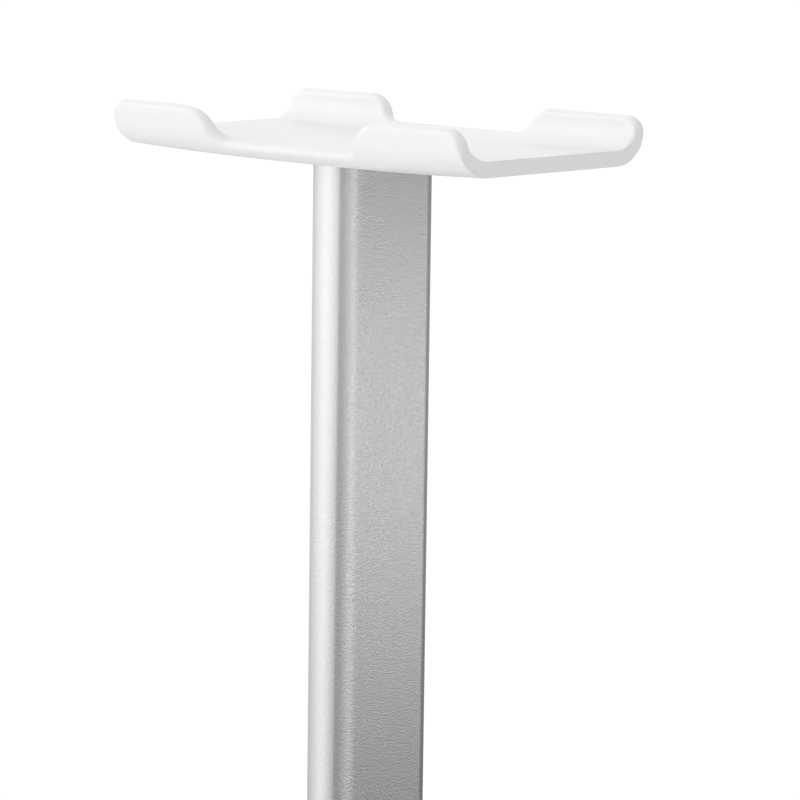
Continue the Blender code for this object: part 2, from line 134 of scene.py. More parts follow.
# Screws: head radius, head height, shank radius, length under the head
TRAY_SCREW = (3.5 * MM, 2.0 * MM, 1.4 * MM, 16.0 * MM)
POST_SCREW = (3.6 * MM, 2.3 * MM, 1.4 * MM, 18.0 * MM)
BALLAST_SCREW = (3.0 * MM, 2.0 * MM, 1.15 * MM, 6.0 * MM)
COVER_SCREW = (2.8 * MM, 1.3 * MM, 1.15 * MM, 8.0 * MM)
THREAD_PITCH = 1.2 * MM
THREAD_DEPTH = 0.25 * MM
THREAD_ROWS = 8                     # rows of points for each pitch
RECESS_ARM = 0.48                   # the cross recess, as shares of the head's radius
RECESS_HALF_W = 0.14
RECESS_DEPTH = 0.6                  # and of its height

# Plastics: darkest and lightest grey, lowest and highest roughness, grain depth
TRAY_PLASTIC = (0.80, 0.84, 0.32, 0.42, 0.004 * MM)
BASE_PLASTIC = (0.80, 0.84, 0.28, 0.36, 0.004 * MM)
COVER_PLASTIC = (0.50, 0.56, 0.50, 0.60, 0.020 * MM)
PLASTIC_GRAIN = 1800.0              # waves per metre, like the other grains
PLASTIC_RIPPLE = 120.0
PLASTIC_CLOUD = 35.0
PLASTIC_IOR = 1.49

# Metals: colour, mean roughness, grain in waves per metre, grain depth
ROLLED_STEEL = ((0.45, 0.45, 0.47), 0.50, 600.0, 0.010 * MM)
ZINC_PLATE = ((0.70, 0.71, 0.74), 0.32, 900.0, 0.004 * MM)

# Blasted aluminium
DIMPLES = 2200.0
DIMPLE_DEPTH = 0.028 * MM
FINE_GRAIN = 3600.0
FINE_DEPTH = 0.008 * MM
MOTTLE = 1500.0
ALUMINIUM_GREYS = (0.76, 0.82)
ALUMINIUM_ROUGHNESS = (0.17, 0.27)
ALUMINIUM_METALLIC = 0.88           # the anodised skin reflects a little like glass

# Rubber
RUBBER_GRAIN = 900.0
RUBBER_DEPTH = 0.03 * MM
RUBBER_GREYS = (0.020, 0.045)
RUBBER_ROUGHNESS = (0.75, 0.95)

NOISE_LOW, NOISE_HIGH = 0.3, 0.7    # where nearly all of a noise's values lie

# Floor
FLOOR_R = 500.0 * MM
FLOOR_FADE = (320.0 * MM, 100.0 * MM)   # invisible past the first radius, solid inside the second
FLOOR_GREY = 0.85
FLOOR_ROUGHNESS = 0.8

# Brightness round the object, by the angle in degrees from the camera's side (negative: to its
# left). The horizon's levels lie just under eye height, where the post mirrors them to the
# camera; the ground's lie below them, the eye's above them, and the lower and upper ones at the
# steep angles that light the tray and the base.
HORIZON_LEVELS = ((-180, 0.75), (-150, 0.74), (-129, 0.70), (-116, 0.74), (-105, 0.90), (-98, 1.15),
                  (-92, 1.34), (-84, 1.34), (-78, 1.26), (-72, 1.00), (-66, 0.68), (-58, 0.54),
                  (-40, 0.53), (-22, 0.68), (0, 1.00), (20, 1.42), (38, 1.60), (54, 1.48),
                  (70, 1.32), (84, 1.25), (94, 1.24), (106, 0.80), (118, 0.30), (135, 0.26),
                  (155, 0.40), (180, 0.75))
GROUND_LEVELS = ((-180, 0.50), (-105, 0.60), (-92, 0.94), (-84, 0.94), (-74, 0.46), (-64, 0.13),
                 (-38, 0.08), (0, 0.11), (38, 0.13), (70, 0.09), (94, 0.08), (118, 0.05),
                 (150, 0.16), (180, 0.50))
EYE_LEVELS = ((-180, 0.75), (-116, 0.74), (-98, 1.10), (-92, 1.26), (-84, 1.26), (-72, 0.96),
              (-58, 0.42), (-40, 0.36), (0, 0.42), (38, 0.34), (60, 0.18), (94, 0.12), (118, 0.18),
              (155, 0.40), (180, 0.75))
UPPER_LEVELS = ((-180, 1.25), (-130, 1.30), (-100, 1.94), (-10, 1.94), (30, 1.10), (60, 0.92),
                (90, 0.76), (130, 0.92), (180, 1.25))
LOWER_LEVELS = ((-180, 0.70), (-130, 1.00), (-100, 1.45), (-10, 1.45), (30, 1.60), (60, 1.20),
                (90, 0.40), (180, 0.50))
TOP_LEVEL = 0.74
BACKDROP_LEVEL = 1.05               # what the camera itself sees behind the object

# Heights of a direction (the z of its unit vector) between which new levels fade in
GROUND_FADE = (-0.14, -0.28)
EYE_FADE = (-0.125, -0.10)
LOWER_FADE = (-0.38, -0.50)
UPPER_FADE = (0.08, 0.20)
TOP_FADE = (0.50, 0.80)


# Node helpers ------------------------------------------------------------------------------

def new_material(name):
    mat = bpy.data.materials.new(name)
    mat.use_nodes = True
    nodes = mat.node_tree.nodes
    nodes.clear()
    output = nodes.new("ShaderNodeOutputMaterial")
    shader = nodes.new("ShaderNodeBsdfPrincipled")
    mat.node_tree.links.new(shader.outputs["BSDF"], output.inputs["Surface"])
    return mat, shader


def link(tree, source, target):
    tree.links.new(source, target)


def smooth_step(tree, value, start, end):
    """0 at start and before it, 1 at end and past it."""
    node = tree.nodes.new("ShaderNodeMapRange")
    node.interpolation_type = "SMOOTHSTEP"
    node.inputs["From Min"].default_value = start
    node.inputs["From Max"].default_value = end
    link(tree, value, node.inputs["Value"])
    return node.outputs["Result"]


def noise(mat, scale, detail=2.0, roughness=0.5):
    """Noise whose scale is in waves per metre."""
    tree = mat.node_tree
    place = tree.nodes.new("ShaderNodeTexCoord").outputs["Object"]
    node = tree.nodes.new("ShaderNodeTexNoise")
    node.inputs["Scale"].default_value = scale
    node.inputs["Detail"].default_value = detail
    node.inputs["Roughness"].default_value = roughness
    link(tree, place, node.inputs["Vector"])
    return node.outputs["Fac"]


def remap(mat, value, low, high):
    """Spreads a noise's usual values from low to high."""
    node = mat.node_tree.nodes.new("ShaderNodeMapRange")
    node.inputs["From Min"].default_value = NOISE_LOW
    node.inputs["From Max"].default_value = NOISE_HIGH
    node.inputs["To Min"].default_value = low
    node.inputs["To Max"].default_value = high
    link(mat.node_tree, value, node.inputs["Value"])
    return node.outputs["Result"]


def tint(mat, factor, dark, light):
    """A grey or colour that follows a factor; a single number is a grey."""
    node = mat.node_tree.nodes.new("ShaderNodeMix")
    node.data_type = "RGBA"
    link(mat.node_tree, factor, node.inputs["Factor"])
    for socket, colour in (("A", dark), ("B", light)):
        rgb = colour if isinstance(colour, tuple) else (colour, colour, colour)
        node.inputs[socket].default_value = (*rgb, 1.0)
    return node.outputs["Result"]


def bump(mat, shader, layers):
    """Bumps from (height, depth in metres) layers, one after another."""
    tree = mat.node_tree
    normal = None
    for height, depth in layers:
        node = tree.nodes.new("ShaderNodeBump")
        node.inputs["Strength"].default_value = 1.0
        node.inputs["Distance"].default_value = depth
        link(tree, height, node.inputs["Height"])
        if normal is not None:
            link(tree, normal, node.inputs["Normal"])
        normal = node.outputs["Normal"]
    link(tree, normal, shader.inputs["Normal"])


# Materials ---------------------------------------------------------------------------------

def moulded_plastic(name, dark, light, rough_low, rough_high, grain_depth):
    """Satin moulded plastic: a very fine spark texture under a slow variation."""
    mat, shader = new_material(name)
    tree = mat.node_tree
    cloud = noise(mat, PLASTIC_CLOUD, 3.0)
    link(tree, tint(mat, cloud, dark, light), shader.inputs["Base Color"])
    link(tree, remap(mat, cloud, rough_low, rough_high), shader.inputs["Roughness"])
    shader.inputs["IOR"].default_value = PLASTIC_IOR
    bump(mat, shader, [(noise(mat, PLASTIC_GRAIN), grain_depth),
                       (noise(mat, PLASTIC_RIPPLE), 4.0 * grain_depth)])
    return mat


def blasted_aluminium(name):
    """Bead-blasted, clear-anodised aluminium: small dimples and a faint mottle all over."""
    mat, shader = new_material(name)
    dimples = noise(mat, DIMPLES, 2.0, 0.6)
    fine = noise(mat, FINE_GRAIN, 1.0)
    mottle = noise(mat, MOTTLE, 1.0)
    link(mat.node_tree, tint(mat, mottle, *ALUMINIUM_GREYS), shader.inputs["Base Color"])
    link(mat.node_tree, remap(mat, fine, *ALUMINIUM_ROUGHNESS), shader.inputs["Roughness"])
    shader.inputs["Metallic"].default_value = ALUMINIUM_METALLIC
    bump(mat, shader, [(dimples, DIMPLE_DEPTH), (fine, FINE_DEPTH)])
    return mat


def metal(name, colour, roughness, scale, depth):
    """Plated or rolled steel with fine surface variation."""
    mat, shader = new_material(name)
    grain = noise(mat, scale, 3.0)
    dark = tuple(0.9 * c for c in colour)
    link(mat.node_tree, tint(mat, grain, dark, colour), shader.inputs["Base Color"])
    link(mat.node_tree, remap(mat, grain, 0.8 * roughness, 1.2 * roughness),
         shader.inputs["Roughness"])
    shader.inputs["Metallic"].default_value = 1.0
    bump(mat, shader, [(grain, depth)])
    return mat


def rubber(name):
    """Matt black rubber with a coarse grain."""
    mat, shader = new_material(name)
    grain = noise(mat, RUBBER_GRAIN, 3.0)
    link(mat.node_tree, tint(mat, grain, *RUBBER_GREYS), shader.inputs["Base Color"])
    link(mat.node_tree, remap(mat, grain, *RUBBER_ROUGHNESS), shader.inputs["Roughness"])
    bump(mat, shader, [(grain, RUBBER_DEPTH)])
    return mat


# Outlines ----------------------------------------------------------------------------------

def arc(cx, cy, radius, start, end, steps):
    """Points along an arc, both of its ends included."""
    turn = (end - start) / steps
    angles = [start + turn * i for i in range(steps + 1)]
    return [(cx + radius * math.cos(a), cy + radius * math.sin(a)) for a in angles]


def circle(cx, cy, radius, sides=40):
    """Points round a circle, the first one not repeated."""
    return arc(cx, cy, radius, 0.0, math.tau * (1 - 1 / sides), sides - 1)


def rounded_rect(half_x, half_y, radius, steps):
    """Points round a rectangle about the origin, with steps to each rounded corner."""
    points = []
    for quarter, (sx, sy) in enumerate(((1, 1), (-1, 1), (-1, -1), (1, -1))):
        start = quarter * math.pi / 2
        centre = (sx * (half_x - radius), sy * (half_y - radius))
        points += arc(*centre, radius, start, start + math.pi / 2, steps)
    return points


def post_outline(half_x, half_y, grow=0.0):
    """The post's section: flat broad sides, narrow sides that bow out a little."""
    corner_x = half_x - POST_R
    crown_y = half_y - POST_CROWN_R
    reach = POST_CROWN_R - POST_R
    corner_y = crown_y + math.sqrt(reach ** 2 - corner_x ** 2)
    lean = math.asin(corner_x / reach)
    points = []
    for side, start in ((1, 0.0), (-1, math.pi)):
        top = start + math.pi / 2
        points += arc(side * corner_x, side * corner_y, POST_R + grow, start, top - lean, 16)
        points += arc(0.0, side * crown_y, POST_CROWN_R + grow, top - lean, top + lean, 12)[1:-1]
        points += arc(-side * corner_x, side * corner_y, POST_R + grow, top + lean,
                      start + math.pi, 16)
    return points


def post_cell(half_x, half_y, side):
    """One of the post's two hollows, with half of the middle port and a slotted end port."""
    inner_x, end_y = half_x - POST_WALL, half_y - POST_WALL
    web_y = WEB_T / 2
    neck = 0.5 * PORT_R
    corner = POST_INNER_R
    slot_turn = math.asin(PORT_HOLE_R * math.sin(PORT_SLOT) / PORT_R)
    web_turn = math.asin(web_y / PORT_R)
    right = [(inner_x, web_y)]
    right += arc(inner_x - corner, end_y - corner, corner, 0.0, math.pi / 2, 10)
    right.append((neck, end_y))
    right += arc(0.0, END_PORT_Y, PORT_R, math.acos(neck / PORT_R), slot_turn - math.pi / 2, 18)
    right += arc(0.0, END_PORT_Y, PORT_HOLE_R, PORT_SLOT - math.pi / 2, math.pi / 2, 16)
    left = [(-x, y) for x, y in reversed(right[:-1])]
    outline = right + left + arc(0.0, 0.0, PORT_R, math.pi - web_turn, web_turn, 18)
    return [(x, side * y) for x, y in outline]


def cross_outline(arm, half_width):
    """A cross recess: four arms that narrow a little towards their tips."""
    tip = 0.8 * half_width
    corners = ((arm, -tip), (arm, tip), (half_width, half_width))
    points = []
    for c, s in ((1, 0), (0, 1), (-1, 0), (0, -1)):
        points += [(c * x - s * y, s * x + c * y) for x, y in corners]
    return points


# Meshes ------------------------------------------------------------------------------------

def add_object(name, mesh):
    obj = bpy.data.objects.new(name, mesh)
    bpy.context.scene.collection.objects.link(obj)
    return obj


def loft(bm, sections):
    """Faces between closed rings that have the same number of points; returns their vertices."""
    rows = [[bm.verts.new(point) for point in section] for section in sections]
    count = len(rows[0])
    for low, high in zip(rows, rows[1:]):
        for i in range(count):
            j = (i + 1) % count
            bm.faces.new((low[i], low[j], high[j], high[i]))
    return rows


def finish_mesh(bm, name):
    bmesh.ops.remove_doubles(bm, verts=bm.verts, dist=0.001 * MM)
    bmesh.ops.recalc_face_normals(bm, faces=bm.faces)
    mesh = bpy.data.meshes.new(name)
    bm.to_mesh(mesh)
    bm.free()
    return add_object(name, mesh)


def stack(name, sections):
    """A closed solid through a pile of rings, capped at both ends."""
    bm = bmesh.new()
    rows = loft(bm, sections)
    bm.faces.new(list(reversed(rows[0])))
    bm.faces.new(rows[-1])
    return finish_mesh(bm, name)


def prism(name, outlines, bottom, top):
    """A flat outline with its holes, extruded between two heights."""
    curve = bpy.data.curves.new(name, "CURVE")
    curve.dimensions = "2D"
    curve.fill_mode = "BOTH"
    curve.extrude = (top - bottom) / 2
    for outline in outlines:
        spline = curve.splines.new("POLY")
        spline.points.add(len(outline) - 1)
        for point, (x, y) in zip(spline.points, outline):
            point.co = (x, y, 0.0, 1.0)
        spline.use_cyclic_u = True
    drawn = add_object(name + "_outline", curve)
    drawn.location.z = (top + bottom) / 2
    bpy.context.view_layer.update()
    evaluated = drawn.evaluated_get(bpy.context.evaluated_depsgraph_get())
    mesh = bpy.data.meshes.new_from_object(evaluated)
    mesh.transform(drawn.matrix_world)
    bpy.data.objects.remove(drawn)
    bm = bmesh.new()
    bm.from_mesh(mesh)
    bpy.data.meshes.remove(mesh)
    return finish_mesh(bm, name)


def turned(name, profile, place=(0.0, 0.0), sides=64):
    """A closed solid of revolution about a vertical axis; the profile starts and ends off it."""
    x, y = place
    return stack(name, [[(x + px, y + py, z) for px, py in circle(0.0, 0.0, r, sides)]
                        for r, z in profile])


def boolean(obj, other, operation):
    """Cuts or joins obj with other, which is used up."""
    mod = obj.modifiers.new("join or cut", "BOOLEAN")
    mod.operation = operation
    mod.solver = "EXACT"
    mod.object = other
    apply_modifiers(obj)
    bpy.data.objects.remove(other)


def apply_modifiers(obj):
    bpy.context.view_layer.update()
    evaluated = obj.evaluated_get(bpy.context.evaluated_depsgraph_get())
    mesh = bpy.data.meshes.new_from_object(evaluated)
    obj.modifiers.clear()
    obj.data = mesh


def shade_round(obj, sharp=math.radians(35)):
    """Smooth shading that leaves large flat faces flat."""
    obj.data.shade_smooth()
    obj.data.set_sharp_from_angle(angle=sharp)
    mod = obj.modifiers.new("flats stay flat", "WEIGHTED_NORMAL")
    mod.keep_sharp = True
    mod.weight = 100
    apply_modifiers(obj)


def soften_edges(obj, width):
    mod = obj.modifiers.new("broken edges", "BEVEL")
    mod.width = width
    mod.segments = 2
    mod.limit_method = "ANGLE"
    mod.angle_limit = math.radians(40)
    apply_modifiers(obj)


def stand_for(piece, node, mat):
    """Puts a finished piece in its CAD node's place."""
    shade_round(piece)
    piece.data.materials.clear()
    piece.data.materials.append(mat)
    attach(piece, "root")
    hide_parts(node)


# Tray --------------------------------------------------------------------------------------

def dish(x, half_l):
    """How far the floor has risen at x: nothing over the post, most at the open ends."""
    run = max(0.0, x - FLAT_HALF) / (half_l - FLAT_HALF)
    return DISH * run * run


def spread(start, end, count):
    """The points that divide a stretch into equal parts, without its ends."""
    return [start + (end - start) * i / count for i in range(1, count)]


def tray_stations(half_l):
    """(x, edge height) from the middle to the open end, close together where the edge turns."""
    rise = 1 - math.cos(SWEEP_ANGLE)
    reach = math.sin(SWEEP_ANGLE)
    straight = LIP_H - RIM_H - (SWEEP_LOW_R + SWEEP_HIGH_R) * rise
    high_x = RIM_HALF + (SWEEP_LOW_R + SWEEP_HIGH_R) * reach + straight / math.tan(SWEEP_ANGLE)
    end_x = half_l - LIP_CORNER_R
    stations = [(0.0, RIM_H)]
    stations += [(x, RIM_H) for x in spread(0.0, RIM_HALF, 8)]
    low = arc(RIM_HALF, RIM_H + SWEEP_LOW_R, SWEEP_LOW_R, -math.pi / 2,
              SWEEP_ANGLE - math.pi / 2, 10)
    high = arc(high_x, LIP_H - SWEEP_HIGH_R, SWEEP_HIGH_R, SWEEP_ANGLE + math.pi / 2,
               math.pi / 2, 10)
    stations += low
    stations += list(zip(spread(low[-1][0], high[0][0], 4), spread(low[-1][1], high[0][1], 4)))
    stations += high
    stations += [(x, LIP_H) for x in spread(high_x, end_x, 10)]
    stations += arc(end_x, LIP_H - LIP_CORNER_R, LIP_CORNER_R, math.pi / 2, 0.0, 20)
    return stations


def end_inset(x, z, half_l):
    """How far the wall has shrunk at x to round the open end's edges, more so up the lips."""
    climb = min(max((z - TRAY_T) / (LIP_H - LIP_CORNER_R - TRAY_T), 0.0), 1.0)
    radius = END_EDGE_R + (END_LIP_R - END_EDGE_R) * climb * climb * (3 - 2 * climb)
    over = max(0.0, x - (half_l - radius))
    return radius - math.sqrt(max(0.0, radius ** 2 - over ** 2))


def shrunk_arc(centre, radius, turns, steps, into, inset):
    """An arc whose points move by the inset at their height: into -1 inwards, 1 outwards."""
    points = []
    for y, z in arc(*centre, radius, *turns, steps):
        scale = 1 + into * inset(z) / radius
        points.append((centre[0] + (y - centre[0]) * scale, centre[1] + (z - centre[1]) * scale))
    return points


def half_section(edge_z, half_w, inset):
    """Half of the cross-section, from the underside's middle to the top's middle."""
    arc_y = half_w - SIDE_R
    climb = (edge_z - RIM_H) / (LIP_H - RIM_H)
    edge_r = RIM_EDGE_R + (LIP_EDGE_R - RIM_EDGE_R) * climb
    inner_r = SIDE_R - TRAY_T
    outer_z = edge_z - edge_r
    inner_z = edge_z - INNER_EDGE_R
    outer_y = arc_y + math.sqrt((SIDE_R - edge_r) ** 2 - (outer_z - SIDE_R) ** 2)
    inner_y = arc_y + math.sqrt((inner_r + INNER_EDGE_R) ** 2 - (inner_z - SIDE_R) ** 2)
    outer_turn = math.atan2(outer_z - SIDE_R, outer_y - arc_y)
    inner_turn = math.atan2(inner_z - SIDE_R, inner_y - arc_y)
    down, up = -math.pi / 2, math.pi / 2
    flat = [0.0, 0.5 * arc_y, arc_y - MM]
    points = [(y, inset(0.0)) for y in flat]
    points += shrunk_arc((arc_y, SIDE_R), SIDE_R, (down, outer_turn), 22, -1, inset)
    points += shrunk_arc((outer_y, outer_z), edge_r, (outer_turn, up), 10, -1, inset)[1:]
    points += shrunk_arc((inner_y, inner_z), INNER_EDGE_R, (up, math.pi + inner_turn), 8, -1, inset)
    points += shrunk_arc((arc_y, SIDE_R), inner_r, (inner_turn, down), 16, 1, inset)[1:]
    return points + [(y, TRAY_T - inset(TRAY_T)) for y in reversed(flat)]


def tray_section(x, edge_z, half_l, half_w):
    """The whole cross-section at x: the +Y half, then the -Y half back to the start. The floor
    follows the dish, the lips' tops run level, and the two low edges differ by the lean."""
    def inset(z):
        return end_inset(x, z, half_l)
    run = min(max((x - RIM_HALF) / (LEVEL_X - RIM_HALF), 0.0), 1.0)
    levelled = run * run * (3 - 2 * run)
    lean = (1 - levelled) * EDGE_LEAN
    edge_z += levelled * (dish(half_l - LIP_CORNER_R, half_l) - dish(x, half_l))
    far_side = half_section(edge_z + lean, half_w, inset)
    near_side = [(-y, z) for y, z in reversed(half_section(edge_z - lean, half_w, inset))]
    return [(x, y, z + dish(x, half_l)) for y, z in far_side + near_side[1:-1]]


def make_tray(tray_z, mat):
    """Half of the tray, lofted and mirrored, with its two tongues and the screw's hole."""
    low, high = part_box("headrest_tray")
    half_l, half_w = high.x, high.y
    bm = bmesh.new()
    sections = [tray_section(x, z, half_l, half_w) for x, z in tray_stations(half_l)]
    rows = loft(bm, sections)
    bm.faces.new(rows[-1])
    tray = finish_mesh(bm, "tray_moulding")
    mirror = tray.modifiers.new("two halves", "MIRROR")
    mirror.use_axis = (True, False, False)
    mirror.merge_threshold = 0.01 * MM
    apply_modifiers(tray)
    tray.data.transform(Matrix.Translation((0, 0, tray_z)))
    for side in (-1, 1):
        outline = [(x, y + side * TONGUE_Y)
                   for x, y in rounded_rect(TONGUE_W / 2, TONGUE_T / 2, TONGUE_R, 4)]
        tongue = prism("tongue", [outline], low.z, tray_z + TRAY_T / 2)
        boolean(tray, tongue, "UNION")
    head_r, head_h, shank_r, _ = TRAY_SCREW
    hole_r, wide_r = shank_r + HOLE_CLEARANCE, head_r + HEAD_CLEARANCE
    top_z = tray_z + TRAY_T
    profile = [(wide_r, top_z + OVERCUT), (wide_r, top_z - HEAD_SINK),
               (hole_r, top_z - head_h - GAP), (hole_r, tray_z - OVERCUT)]
    boolean(tray, turned("screw_hole", profile), "DIFFERENCE")
    stand_for(tray, "headrest_tray", mat)


# Post --------------------------------------------------------------------------------------

def make_post(mat):
    """The extrusion: two hollows on either side of a web that carries the middle screw port."""
    low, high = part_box("post")
    outlines = [post_outline(high.x, high.y), post_cell(high.x, high.y, 1),
                post_cell(high.x, high.y, -1), circle(0.0, 0.0, PORT_HOLE_R)]
    stand_for(prism("post_extrusion", outlines, low.z, high.z), "post", mat)


# Base --------------------------------------------------------------------------------------

def crown_height(inset, wall):
    """Height of the shell's outside (wall 0) or inside at a distance in from the side."""
    run = min(max((inset - wall) / (CROWN_RUN - wall), 0.0), 1.0)
    rise = (1 - (1 - run) ** 2) ** (CROWN_POWER / 2)
    return SIDE_TOP_Z + (BASE_H - wall - SIDE_TOP_Z) * rise


def shell_rings(wall, skirt_z):
    """Rings up the shell's outside (wall 0) or its inside, as inset and height."""
    if wall:
        rings = [(wall, skirt_z - OVERCUT)]
    else:
        rings = [(SKIRT_EDGE_R + x, skirt_z + SKIRT_EDGE_R + z)
                 for x, z in arc(0.0, 0.0, SKIRT_EDGE_R, -math.pi / 2, -math.pi, 4)]
    steps = 28
    for i in range(steps + 1):
        run = 1 - math.cos(math.pi / 2 * (i / steps) ** 1.5)
        inset = wall + (CROWN_RUN - wall) * run
        rings.append((inset, crown_height(inset, wall)))
    return rings


def slab(name, half_x, half_y, rings, corner_steps):
    """A rounded rectangle whose outline moves inwards as it climbs, closed at both ends."""
    sections = []
    for inset, z in rings:
        outline = rounded_rect(half_x - inset, half_y - inset, BASE_R - inset, corner_steps)
        sections.append([(x, y, z) for x, y in outline])
    return stack(name, sections)


def corner_places(x, y):
    return [(sx * x, sy * y) for sx, sy in ((1, 1), (-1, 1), (-1, -1), (1, -1))]


def middle(node):
    low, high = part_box(node)
    return (low + high) / 2


def make_collar(half_x, half_y):
    """The socket's wall: a rim with rounded edges above the shell and a fillet at its foot."""
    rim_z = BASE_H + COLLAR_RISE
    sunk = 0.02 * MM                # the fillet's foot lies just under the shell's top
    rings = [(COLLAR_W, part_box("post")[0].z), (COLLAR_W, BASE_H - BASE_WALL / 2)]
    rings += [(COLLAR_W + COLLAR_FILLET_R + x, BASE_H - sunk + COLLAR_FILLET_R + z)
              for x, z in arc(0.0, 0.0, COLLAR_FILLET_R, -math.pi / 2, -math.pi, 8)]
    rings += [(COLLAR_W - COLLAR_EDGE_R + x, rim_z - COLLAR_EDGE_R + z)
              for x, z in arc(0.0, 0.0, COLLAR_EDGE_R, 0.0, math.pi / 2, 6)]
    sections = [[(x, y, z) for x, y in post_outline(half_x, half_y, GAP + grow)]
                for grow, z in rings]
    return stack("collar", sections)


def make_shell(mat):
    """The base's top: a crowned shell with the post's socket and bosses for the screws."""
    low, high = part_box("base_shell")
    post_low, post_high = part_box("post")
    foot_z = post_low.z
    shell = slab("base_top_shell", high.x, high.y, shell_rings(0.0, low.z), 24)
    boolean(shell, slab("inside", high.x, high.y, shell_rings(BASE_WALL, low.z), 24),
            "DIFFERENCE")
    boolean(shell, make_collar(post_high.x, post_high.y), "UNION")
    cover_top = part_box("base_cover")[1].z
    foot, screw = middle("foot_pad_1"), middle("ballast_screw_1")
    bosses = [(place, cover_top + GAP) for place in corner_places(foot.x, foot.y)]
    bosses += [(place, foot_z) for place in corner_places(screw.x, screw.y)]
    for (x, y), bottom in bosses:
        inset = BASE_R - math.hypot(max(0.0, abs(x) - high.x + BASE_R),
                                    max(0.0, abs(y) - high.y + BASE_R))
        top = crown_height(inset + BOSS_R, BASE_WALL) + GAP
        boolean(shell, prism("boss", [circle(x, y, BOSS_R)], bottom, top), "UNION")
        pilot = prism("pilot", [circle(x, y, PILOT_R, 24)], bottom - OVERCUT, top - PILOT_ROOF)
        boolean(shell, pilot, "DIFFERENCE")
    hole = prism("post_hole", [post_outline(post_high.x, post_high.y, GAP)], foot_z - OVERCUT,
                 BASE_H + COLLAR_RISE + OVERCUT)
    boolean(shell, hole, "DIFFERENCE")
    stand_for(shell, "base_shell", mat)


def make_ballast(mat):
    """A steel plate with the post screws' holes and the holes of the screws that hold it up."""
    low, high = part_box("ballast_plate")
    screw, post_screw = middle("ballast_screw_1"), middle("post_screw_1")
    hole_r = POST_SCREW[2] + HOLE_CLEARANCE
    outlines = [rounded_rect(high.x, high.y, BALLAST_R, 16)]
    outlines += [circle(0.0, side * post_screw.y, hole_r) for side in (-1, 1)]
    outlines += [circle(x, y, PILOT_R) for x, y in corner_places(screw.x, screw.y)]
    ballast = prism("ballast_slab", outlines, low.z, high.z)
    soften_edges(ballast, BALLAST_EDGE)
    stand_for(ballast, "ballast_plate", mat)


def make_cover(mat):
    """The underside's plate: rounded lower edge, pockets for the feet, countersunk holes."""
    low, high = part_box("base_cover")
    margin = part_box("base_shell")[1].x - high.x
    rings = [(margin + COVER_EDGE_R + x, low.z + COVER_EDGE_R + z)
             for x, z in arc(0.0, 0.0, COVER_EDGE_R, -math.pi / 2, -math.pi, 5)]
    rings.append((margin, high.z))
    cover = slab("base_bottom_cover", high.x + margin, high.y + margin, rings, 20)
    head_r, head_h, shank_r, _ = COVER_SCREW
    foot = middle("foot_pad_1")
    pocket_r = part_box("foot_pad_1")[1].x - foot.x + GAP
    hole_r = shank_r + COVER_CLEARANCE
    pocket_z = low.z + POCKET_DEPTH
    cone_z = pocket_z + GAP + head_h
    profile = [(hole_r, high.z + OVERCUT), (hole_r, cone_z),
               (head_r + GAP, pocket_z + 0.15 * head_h), (head_r + GAP, pocket_z),
               (pocket_r, pocket_z), (pocket_r, low.z - OVERCUT)]
    for place in corner_places(foot.x, foot.y):
        boolean(cover, turned("pocket", profile, place, 48), "DIFFERENCE")
    stand_for(cover, "base_cover", mat)


def make_feet(mat):
    """Rubber discs with a rounded lower edge and rings of shallow grooves to grip."""
    for number in range(1, 5):
        node = f"foot_pad_{number}"
        low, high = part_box(node)
        centre, radius = (low + high) / 2, (high.x - low.x) / 2
        profile = [(AXIS_R, high.z), (radius - FOOT_TOP_EDGE, high.z),
                   (radius, high.z - FOOT_TOP_EDGE)]
        profile += arc(radius - FOOT_EDGE_R, low.z + FOOT_EDGE_R, FOOT_EDGE_R, 0.0,
                       -math.pi / 2, 5)
        for ring in FOOT_RINGS:
            for side, depth in ((1.5, 0.0), (0.5, 1.0), (-0.5, 1.0), (-1.5, 0.0)):
                profile.append((ring * radius + side * FOOT_GROOVE, low.z + depth * FOOT_GROOVE))
        profile.append((AXIS_R, low.z))
        foot = turned(f"rubber_foot_{number}", profile, (centre.x, centre.y), 48)
        stand_for(foot, node, mat)


# Fasteners ---------------------------------------------------------------------------------

def countersunk_head(head_r, head_h, shank_r):
    """A flat head's profile, downwards from its top: a short straight edge, then the cone."""
    edge = 0.15 * head_h
    return [(0.1 * head_r, 0.0), (head_r - 0.5 * edge, 0.0), (head_r, -0.5 * edge),
            (head_r, -edge), (shank_r, -head_h)]


def pan_head(head_r, head_h, shank_r):
    """A domed head's profile, downwards from its top."""
    dome = [(head_r * math.sin(turn), 0.55 * head_h * (math.cos(turn) - 1))
            for turn in [math.radians(a) for a in (6, 18, 30, 42, 54, 66, 78, 90)]]
    return dome + [(head_r, -0.92 * head_h), (0.97 * head_r, -head_h), (shank_r, -head_h)]


